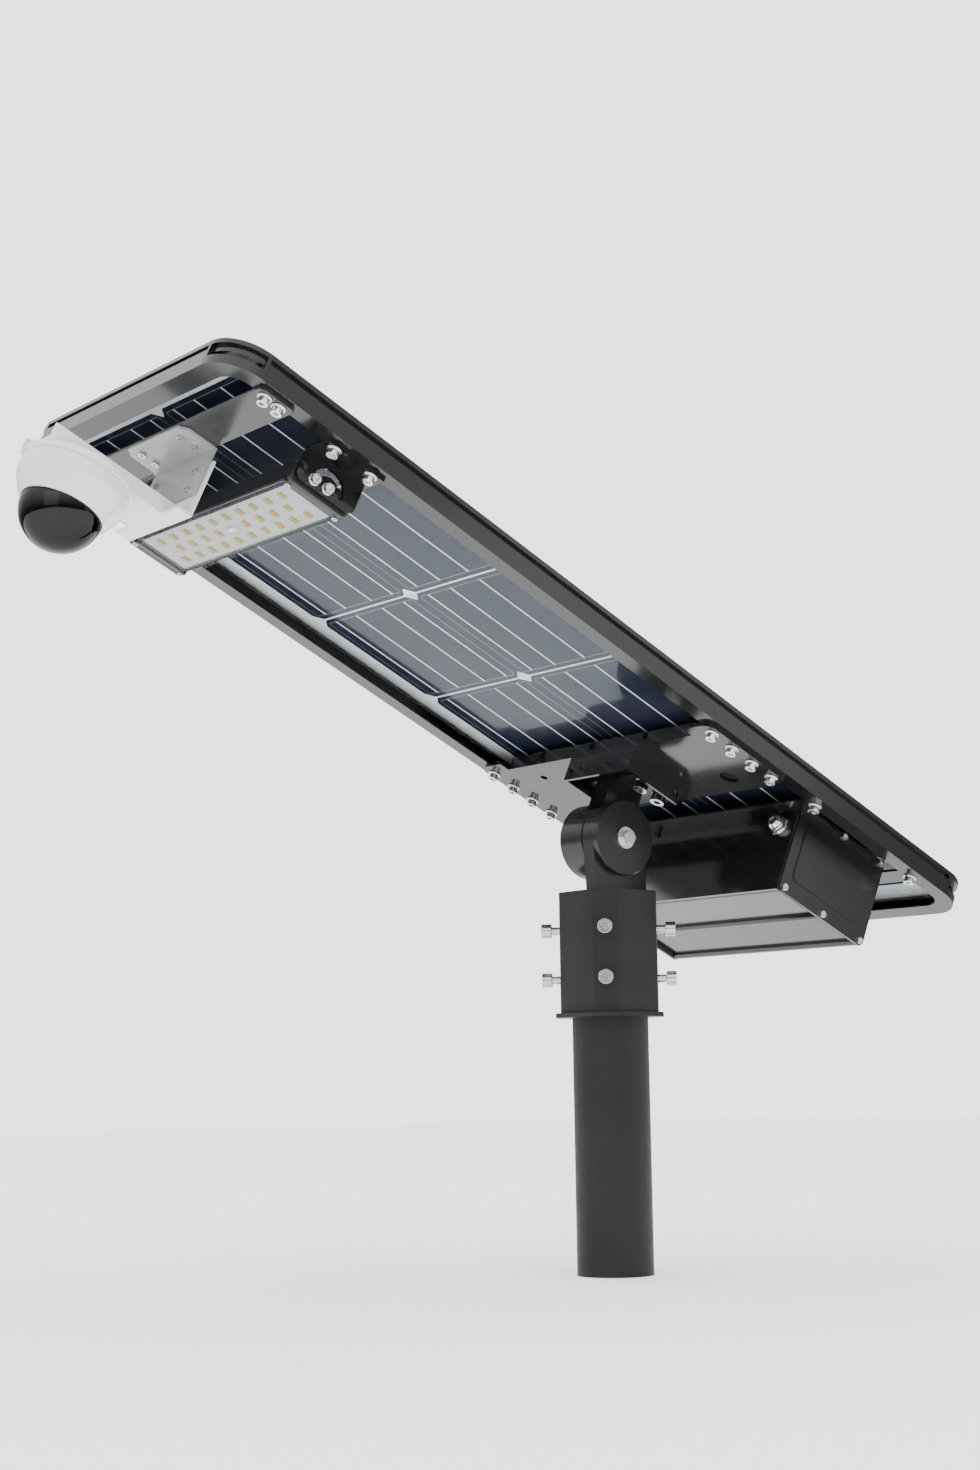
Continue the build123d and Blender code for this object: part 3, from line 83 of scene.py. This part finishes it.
class Finish:
    # a material and the nodes that are added to it
    def __init__(self, name):
        self.material = bpy.data.materials.new(name)
        self.material.use_nodes = True
        self.tree = self.material.node_tree
        self.tree.nodes.clear()
        self.count = 0

    def node(self, kind, settings=None, inputs=None, output=0):
        made = self.tree.nodes.new(kind)
        self.count += 1
        made.location = (-220 * (self.count // 6), 200 * (self.count % 6))
        for key, value in (settings or {}).items():
            setattr(made, key, value)
        for key, value in (inputs or {}).items():
            if isinstance(value, Field):
                self.tree.links.new(value.socket, made.inputs[key])
            else:
                target = made.inputs[key]
                if hasattr(value, "__len__") and len(value) < len(target.default_value):
                    value = (*value, 1)
                target.default_value = value
        return Field(self, made.outputs[output])

    def coords(self, turn=None, scale=(1, 1, 1), shift=(0, 0, 0)):
        place = self.node("ShaderNodeTexCoord", output="Object")
        return self.node(
            "ShaderNodeMapping", {"vector_type": "POINT"},
            {"Vector": place, "Location": shift, "Rotation": turn or (0, 0, 0), "Scale": scale},
        )

    def axes(self, vector):
        split = self.node("ShaderNodeSeparateXYZ", inputs={0: vector})
        node = split.socket.node
        return [Field(self, node.outputs[i]) for i in range(3)]

    def noise(self, vector, scale, detail, roughness=0.55):
        return self.node(
            "ShaderNodeTexNoise",
            inputs={"Vector": vector, "Scale": scale, "Detail": detail, "Roughness": roughness},
        )

    def ramp(self, value, low, high, fromLow=0.0, fromHigh=1.0):
        return self.node(
            "ShaderNodeMapRange", {"clamp": True},
            {"Value": value, "From Min": fromLow, "From Max": fromHigh, "To Min": low, "To Max": high},
        )

    def mix(self, factor, first, second):
        return self.node(
            "ShaderNodeMix", {"data_type": "RGBA", "blend_type": "MIX", "clamp_factor": True},
            {0: factor, 6: first, 7: second}, output=2,
        )

    def bump(self, height, strength, distance):
        return self.node(
            "ShaderNodeBump", inputs={"Strength": strength, "Distance": distance, "Height": height},
        )

    def surface(self, inputs):
        return self.node("ShaderNodeBsdfPrincipled", inputs=inputs)

    def done(self, shader):
        last = self.tree.nodes.new("ShaderNodeOutputMaterial")
        self.tree.links.new(shader.socket, last.inputs["Surface"])
        return self.material


panelView = (0, tiltAngle, 0)  # turns object coordinates so X runs along the panel
panelShift = (-pivotHeight * math.sin(tiltAngle), 0, -pivotHeight * math.cos(tiltAngle))


def paint(name, look):
    # sprayed or powder paint: faint mottling, orange peel and a few dull patches
    kit = Finish(name)
    place = kit.coords()
    cloud = kit.noise(place, 9, 4)
    grain = kit.noise(place, look.get("peel", 900), 2)
    dust = kit.noise(place, 60, 5, 0.7)
    base = look["colour"]
    pale = tuple(min(1, c * look.get("lift", 1.35) + 0.002) for c in base)
    colour = kit.mix(kit.ramp(cloud, 0, 1, 0.35, 0.65), base, pale)
    rough = kit.ramp(dust, look["rough"] * 0.92, look["rough"] * 1.1, 0.35, 0.7)
    return kit.done(kit.surface({
        "Base Color": colour, "Roughness": rough, "Specular IOR Level": look.get("shine", 0.5),
        "Coat Weight": look.get("coat", 0.0), "Coat Roughness": 0.04,
        "Normal": kit.bump(grain, look.get("bump", 0.05), 0.0002),
    }))


def metal(name, look):
    # plated or stainless steel: fine scratches and slightly uneven plating
    kit = Finish(name)
    place = kit.coords()
    cloud = kit.noise(place, 70, 3)
    scratch = kit.noise(kit.coords(scale=(1, 1, 9)), 420, 2)
    colour = kit.mix(kit.ramp(cloud, 0, 1, 0.3, 0.7), look["colour"], tuple(c * 0.82 for c in look["colour"]))
    rough = kit.ramp(scratch, look["rough"] * 0.7, look["rough"] * 1.4, 0.3, 0.7)
    return kit.done(kit.surface({
        "Base Color": colour, "Metallic": 1.0, "Roughness": rough,
        "Normal": kit.bump(scratch, 0.08, 0.0001),
    }))


def extruded(name, look):
    # drawn or extruded section: faint die lines along one panel direction
    kit = Finish(name)
    along, across = look["lines"]
    lines = kit.noise(kit.coords(panelView, (along, across, 1)), 700, 2)
    cloud = kit.noise(kit.coords(), 14, 4)
    colour = kit.mix(kit.ramp(cloud, 0, 1, 0.3, 0.7), look["colour"], tuple(c * 1.15 for c in look["colour"]))
    rough = kit.ramp(lines, look["rough"] * 0.92, look["rough"] * 1.1, 0.3, 0.7)
    return kit.done(kit.surface({
        "Base Color": colour, "Roughness": rough, "Specular IOR Level": look.get("shine", 0.5),
        "Normal": kit.bump(lines, 0.006, 0.0001),
    }))


def moulded(name, look):
    # moulded plastic or rubber: fine skin texture and soft colour drift
    kit = Finish(name)
    place = kit.coords()
    grain = kit.noise(place, look.get("grain", 1400), 2)
    cloud = kit.noise(place, 22, 3)
    drift = tuple(c * look.get("lift", 0.94) for c in look["colour"])
    colour = kit.mix(kit.ramp(cloud, 0, 1, 0.3, 0.7), look["colour"], drift)
    rough = kit.ramp(cloud, look["rough"] * 0.85, look["rough"] * 1.15, 0.3, 0.7)
    return kit.done(kit.surface({
        "Base Color": colour, "Roughness": rough,
        "Coat Weight": look.get("coat", 0.0), "Coat Roughness": 0.03,
        "Normal": kit.bump(grain, look.get("bump", 0.05), 0.0001),
    }))


def clear(name, look):
    # thin clear sheet: see-through in the middle, more mirror towards a glancing view
    kit = Finish(name)
    haze = kit.noise(kit.coords(), 30, 4)
    glance = kit.node("ShaderNodeLayerWeight", inputs={"Blend": 0.5}, output=1).math("POWER", 5.0)
    mirror = look["mirror"] + (look["graze"] - look["mirror"]) * glance
    through = kit.node("ShaderNodeBsdfTransparent", inputs={"Color": look["tint"]})
    glossy = kit.surface({
        "Base Color": (0.9, 0.9, 0.9), "Metallic": 1.0,
        "Roughness": kit.ramp(haze, look["rough"] * 0.7, look["rough"] * 1.4, 0.3, 0.7),
    })
    shader = kit.node("ShaderNodeMixShader", inputs={0: mirror, 1: through, 2: glossy})
    return kit.done(shader)


def cellFace(name, look):
    # silicon cells: dark blue, faint fingers across, a thin printed outline inside each edge
    kit = Finish(name)
    along, across = kit.axes(kit.coords(panelView, shift=look["shift"]))[:2]
    finger = along.math("PINGPONG", look["pitch"] / 2)
    mask = kit.ramp(finger, 1, 0, look["pitch"] * 0.05, look["pitch"] * 0.2)
    endGap = (along - look["centre"]).math("PINGPONG", look["length"] / 2)
    sideGap = across.math("PINGPONG", look["width"] / 2)
    cornerGap = (endGap + sideGap - look["corner"]) * 0.707
    edge = endGap.math("MINIMUM", sideGap).math("MINIMUM", cornerGap)
    outline = abs(edge - look["inset"]) < look["line"]
    cloud = kit.noise(kit.coords(), 24, 4)
    base = kit.mix(kit.ramp(cloud, 0, 1, 0.3, 0.7), look["colour"], look["drift"])
    colour = kit.mix(mask * look["strength"], base, look["silver"])
    colour = kit.mix(outline * 0.5, colour, look["print"])
    return kit.done(kit.surface({
        "Base Color": colour, "Roughness": kit.ramp(cloud, 0.3, 0.4, 0.3, 0.7),
        "Specular IOR Level": 0.1, "Coat Weight": look["glaze"], "Coat Roughness": 0.03,
    }))


zincLook = {"colour": (0.60, 0.60, 0.60), "rough": 0.2}
stainlessLook = {"colour": (0.82, 0.81, 0.80), "rough": 0.18}
glossBlack = {"colour": (0.005, 0.005, 0.0055), "rough": 0.12, "shine": 0.5, "bump": 0.008, "peel": 700}
finishes = {
    "pole_paint": paint("polePaint", {
        "colour": (0.009, 0.009, 0.0095), "rough": 0.5, "shine": 0.25, "bump": 0.04,
    }),
    "sleeve_paint": paint("sleevePaint", {
        "colour": (0.009, 0.009, 0.0095), "rough": 0.45, "shine": 0.25, "bump": 0.04,
    }),
    "knuckle_paint": paint("knucklePaint", {
        "colour": (0.007, 0.007, 0.0075), "rough": 0.24, "shine": 0.4, "bump": 0.03,
    }),
    "bracket_paint": paint("bracketPaint", glossBlack),
    "lamp_bracket": paint("lampBracketPaint", glossBlack),
    "cross_paint": paint("crossPlatePaint", {"colour": (0.022, 0.022, 0.024), "rough": 0.16, "bump": 0.02}),
    "battery_plate": paint("endPlatePaint", {
        "colour": (0.008, 0.008, 0.009), "rough": 0.2, "shine": 0.5, "bump": 0.02,
    }),
    "lamp_cap": paint("lampCapPaint", {
        "colour": (0.012, 0.012, 0.013), "rough": 0.3, "shine": 0.4, "bump": 0.03,
    }),
    "bracket_white": paint("bracketPale", {
        "colour": (0.78, 0.78, 0.79), "rough": 0.32, "lift": 1.03, "bump": 0.02,
    }),
    "bracket_grey": paint("bracketGrey", {
        "colour": (0.34, 0.34, 0.345), "rough": 0.26, "lift": 1.06, "bump": 0.02,
    }),
    "corner_black": paint("cornerCasting", glossBlack),
    "frame_black": extruded("frameAnodised", {
        "colour": (0.006, 0.006, 0.0065), "rough": 0.14, "shine": 0.5, "lines": (0.02, 1),
    }),
    "battery_grey": extruded("batteryCase", {
        "colour": (0.008, 0.008, 0.009), "rough": 0.15, "shine": 0.7, "lines": (1, 0.02),
    }),
    "lamp_black": extruded("lampSink", {"colour": (0.012, 0.012, 0.013), "rough": 0.3, "lines": (1, 0.02)}),
    "zinc_screws": metal("zincScrews", zincLook),
    "zinc_bolts": metal("zincBolts", zincLook),
    "zinc_washers": metal("zincWashers", {"colour": (0.84, 0.84, 0.83), "rough": 0.26}),
    "stainless_bolts": metal("stainlessBolts", stainlessLook),
    "stainless_nuts": metal("stainlessNuts", stainlessLook),
    "small_screws": metal("smallScrews", {"colour": (0.66, 0.66, 0.66), "rough": 0.2}),
    "ribbons": moulded("tabRibbons", {"colour": (0.90, 0.90, 0.90), "rough": 0.3, "coat": 0.5}),
    "fibre": moulded("fibreWasher", {
        "colour": (0.06, 0.045, 0.035), "rough": 0.8, "bump": 0.3, "grain": 600,
    }),
    "encapsulant": moulded("whiteFilm", {"colour": (0.9, 0.9, 0.91), "rough": 0.5, "coat": 0.5}),
    "junction_plastic": moulded("junctionPlastic", {"colour": (0.012, 0.012, 0.012), "rough": 0.5}),
    "camera_white": moulded("cameraWhite", {
        "colour": (0.80, 0.80, 0.81), "rough": 0.2, "coat": 0.5, "lift": 0.98, "bump": 0.01,
    }),
    "camera_dark": moulded("cameraInside", {"colour": (0.01, 0.01, 0.01), "rough": 0.45}),
    "board_white": moulded("boardMask", {"colour": (0.42, 0.42, 0.43), "rough": 0.35, "lift": 0.98}),
    "phosphor": moulded("ledPhosphor", {"colour": (0.40, 0.25, 0.0), "rough": 0.6, "lift": 0.92}),
    "connector": moulded("boardConnector", {"colour": (0.75, 0.75, 0.72), "rough": 0.4}),
    "gasket_rubber": moulded("gasketRubber", {"colour": (0.02, 0.02, 0.02), "rough": 0.7, "bump": 0.2}),
    "cell_wrap": moulded("cellWrap", {"colour": (0.02, 0.10, 0.38), "rough": 0.3}),
    "holder_plastic": moulded("holderPlastic", {"colour": (0.02, 0.02, 0.02), "rough": 0.5}),
    "controller_board": moulded("controllerBoard", {"colour": (0.01, 0.09, 0.03), "rough": 0.4}),
    "gland_metal": metal("glandNickel", {"colour": (0.80, 0.80, 0.79), "rough": 0.15}),
    "solar_cells": cellFace("cellSilicon", {
        "colour": (0.006, 0.008, 0.022), "drift": (0.009, 0.011, 0.028), "silver": (0.4, 0.4, 0.42),
        "pitch": 0.0021, "strength": 0.06, "shift": panelShift,
        "centre": 0.1617, "length": 0.1559, "width": 0.1528, "corner": 0.006, "inset": 0.0070, "line": 0.0004,
        "print": (0.45, 0.45, 0.46), "glaze": 0.5,
    }),
    "back_glass": clear("backGlass", {
        "mirror": 0.002, "graze": 0.06, "tint": (0.92, 0.94, 0.95), "rough": 0.02,
    }),
    "front_glass": clear("frontGlass", {
        "mirror": 0.004, "graze": 0.1, "tint": (0.94, 0.96, 0.96), "rough": 0.05,
    }),
    "dome_smoke": clear("domeSmoke", {
        "mirror": 0.03, "graze": 0.7, "tint": (0.045, 0.045, 0.05), "rough": 0.05,
    }),
    "lens_glass": clear("lensGlass", {
        "mirror": 0.08, "graze": 0.9, "tint": (0.25, 0.2, 0.35), "rough": 0.01,
    }),
    "lamp_clear": clear("lampCover", {
        "mirror": 0.01, "graze": 0.45, "tint": (0.95, 0.96, 0.96), "rough": 0.03,
    }),
}
slotOf = {part["node"]: part["material_slot"] for part in frame["record"]["subparts"]}
for node, shape in frame["nodes"].items():
    shape.data.materials.clear()
    shape.data.materials.append(finishes[slotOf[node]])
print("materials on", len(frame["nodes"]), "nodes")

# ---- pieces that stand for CAD nodes ----

def alone(shape):
    bpy.ops.object.select_all(action="DESELECT")
    shape.select_set(True)
    bpy.context.view_layer.objects.active = shape


def settle(shape, body, slotName):
    # the piece's place goes into its mesh, then it rides on its body
    alone(shape)
    bpy.ops.object.transform_apply(location=True, rotation=True, scale=True)
    shape.data.materials.clear()
    shape.data.materials.append(finishes[slotName])
    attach(shape, body)


bodyOf = {node: body for body, nodes in frame["record"]["behaviour"]["bodies"].items() for node in nodes}

# cast and machined pieces: the same shapes with their sharp edges broken
edgeBreaks = {
    "lamp_end_caps": 0.8, "battery_end_plates": 0.6, "pole_sleeve": 0.7, "knuckle_post": 0.8, "tilt_hub": 0.7,
    "pivot_bolt": 0.5, "pivot_nut": 0.5, "flange_bolts": 0.4, "yoke_bolts": 0.5, "sleeve_set_screws": 0.5,
    "lamp_side_bolts": 0.4, "battery_end_screws": 0.3, "cable_gland": 0.4, "junction_box": 0.4,
}
edgeLook = {"merge": 0.01, "flat": 0.5, "sharp": 40, "smooth": 30}
for node, width in edgeBreaks.items():
    shape = bpy.data.objects.new(node + "Finished", frame["nodes"][node].data.copy())
    bpy.context.collection.objects.link(shape)
    alone(shape)
    bpy.ops.object.mode_set(mode="EDIT")
    bpy.ops.mesh.select_all(action="SELECT")
    bpy.ops.mesh.customdata_custom_splitnormals_clear()
    bpy.ops.mesh.remove_doubles(threshold=edgeLook["merge"] * mm)
    bpy.ops.mesh.dissolve_limited(angle_limit=math.radians(edgeLook["flat"]))
    bpy.ops.object.mode_set(mode="OBJECT")
    bevel = shape.modifiers.new("edgeBreak", "BEVEL")
    bevel.width = width * mm
    bevel.segments = 1
    bevel.limit_method = "ANGLE"
    bevel.angle_limit = math.radians(edgeLook["sharp"])
    bevel.use_clamp_overlap = True
    bpy.ops.object.modifier_apply(modifier="edgeBreak")
    bpy.ops.object.shade_smooth_by_angle(angle=math.radians(edgeLook["smooth"]))
    settle(shape, bodyOf[node], slotOf[node])
    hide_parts(node)
print("edges broken on", len(edgeBreaks), "pieces")

# ---- lamp lights ----
lampLook = {
    "middle": 515.2, "rowPitch": 15.3, "lightPitch": 22.6, "pad": (8.4, 6.6, 0.9), "padHeight": 45.75,
    "edge": 0.35, "smooth": 40,
}
# ten lights in the outer rows; the middle row leaves its centre to the connector
fullRow = [lampLook["lightPitch"] * (k - 4.5) for k in range(10)]
shortRow = [lampLook["lightPitch"] * (k - 4) for k in range(9) if k != 4]
lights = [(lampLook["middle"] + lampLook["rowPitch"], across) for across in fullRow]
lights += [(lampLook["middle"], across) for across in shortRow]
lights += [(lampLook["middle"] - lampLook["rowPitch"], across) for across in fullRow]


def joined(shapes, name):
    bpy.ops.object.select_all(action="DESELECT")
    for shape in shapes:
        shape.select_set(True)
    bpy.context.view_layer.objects.active = shapes[0]
    bpy.ops.object.join()
    result = bpy.context.object
    result.name = name
    return result


def repeated(source, places, name):
    # a copy with its own mesh goes to each panel place, and the shape they came from is dropped
    shapes = []
    for along, across, height in places:
        copy = source.copy()
        copy.data = source.data.copy()
        bpy.context.collection.objects.link(copy)
        copy.matrix_world = panelTurn @ Matrix.Translation((along * mm, across * mm, height * mm))
        shapes.append(copy)
    bpy.data.objects.remove(source)
    return joined(shapes, name)


bpy.ops.object.select_all(action="DESELECT")
bpy.ops.mesh.primitive_cube_add(size=1, location=(0, 0, 0))
pad = bpy.context.object
pad.scale = [length * mm for length in lampLook["pad"]]
bpy.ops.object.transform_apply(scale=True)
soft = pad.modifiers.new("padEdge", "BEVEL")
soft.width = lampLook["edge"] * mm
soft.segments = 3
bpy.ops.object.modifier_apply(modifier="padEdge")
bpy.ops.object.shade_smooth_by_angle(angle=math.radians(lampLook["smooth"]))
pads = repeated(pad, [(a, c, lampLook["padHeight"]) for a, c in lights], "ledPads")
settle(pads, "lamp", "phosphor")
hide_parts("led_emitters")
print("lamp lights made:", len(lights))

# ---- studio and camera ----
studio = {
    "floor": 16.0, "floorColour": (0.95, 0.95, 0.95), "floorGlow": 0.55, "paper": 3.4,
    "floorLevel": -0.0005, "lowSky": 0.05, "highSky": 0.6, "horizonLight": 0.35, "topLight": 3.0,
    "target": (0.2, 0, 0.5),
}
bpy.ops.object.select_all(action="DESELECT")
bpy.ops.mesh.primitive_plane_add(size=studio["floor"], location=(0, 0, studio["floorLevel"]))
floor = bpy.context.object
floor.name = "studioFloor"
floorKit = Finish("floorPaper")
floor.data.materials.append(floorKit.done(floorKit.surface({
    "Base Color": studio["floorColour"], "Roughness": 0.9,
    "Emission Color": (1.0, 1.0, 1.0), "Emission Strength": studio["floorGlow"],
})))

# an even pale backdrop; as a light it is dim near the horizon and bright overhead
world = bpy.data.worlds.new("softSky")
bpy.context.scene.world = world
world.use_nodes = True
sky = world.node_tree
sky.nodes.clear()
heading = sky.nodes.new("ShaderNodeTexCoord")
parts = sky.nodes.new("ShaderNodeSeparateXYZ")
dome = sky.nodes.new("ShaderNodeMapRange")
dome.inputs["From Min"].default_value = studio["lowSky"]
dome.inputs["From Max"].default_value = studio["highSky"]
dome.inputs["To Min"].default_value = studio["horizonLight"]
dome.inputs["To Max"].default_value = studio["topLight"]
seen = sky.nodes.new("ShaderNodeLightPath")
choice = sky.nodes.new("ShaderNodeMix")
choice.inputs[3].default_value = studio["paper"]
light = sky.nodes.new("ShaderNodeBackground")
skyOut = sky.nodes.new("ShaderNodeOutputWorld")
sky.links.new(heading.outputs["Generated"], parts.inputs[0])
sky.links.new(parts.outputs["Z"], dome.inputs["Value"])
sky.links.new(seen.outputs["Is Camera Ray"], choice.inputs[0])
sky.links.new(dome.outputs[0], choice.inputs[2])
sky.links.new(choice.outputs[0], light.inputs["Strength"])
sky.links.new(light.outputs[0], skyOut.inputs[0])

softBoxes = [
    {"name": "keyBox", "at": (2.6, 1.4, 1.6), "size": 1.8, "power": 9},
    {"name": "rearBox", "at": (-1.6, 2.2, 0.9), "size": 1.0, "power": 3},
]
for box in softBoxes:
    lamp = bpy.data.lights.new(box["name"], "AREA")
    lamp.size = box["size"]
    lamp.energy = box["power"]
    holder = bpy.data.objects.new(box["name"], lamp)
    bpy.context.collection.objects.link(holder)
    holder.location = box["at"]
    aim = Vector(studio["target"]) - holder.location
    holder.rotation_euler = aim.to_track_quat("-Z", "Y").to_euler()

view = {
    "at": (1.50635, 1.66841, 0.18253), "ahead": (-0.6229, -0.7664, 0.1573), "roll": -0.79,
    "lens": 54.4, "sensor": 36.0,
}
lens = bpy.data.cameras.new("viewCamera")
lens.sensor_fit = "VERTICAL"
lens.sensor_height = view["sensor"]
lens.lens = view["lens"]
viewer = bpy.data.objects.new("viewCamera", lens)
bpy.context.collection.objects.link(viewer)
ahead = Vector(view["ahead"]).normalized()
right = ahead.cross(Vector((0, 0, 1))).normalized()
up = right.cross(ahead)
roll = math.radians(view["roll"])
rightTurned = right * math.cos(roll) + up * math.sin(roll)
upTurned = up * math.cos(roll) - right * math.sin(roll)
viewer.matrix_world = Matrix((
    (rightTurned.x, upTurned.x, -ahead.x, view["at"][0]),
    (rightTurned.y, upTurned.y, -ahead.y, view["at"][1]),
    (rightTurned.z, upTurned.z, -ahead.z, view["at"][2]),
    (0, 0, 0, 1),
))
bpy.context.scene.camera = viewer
print("camera and lights set")
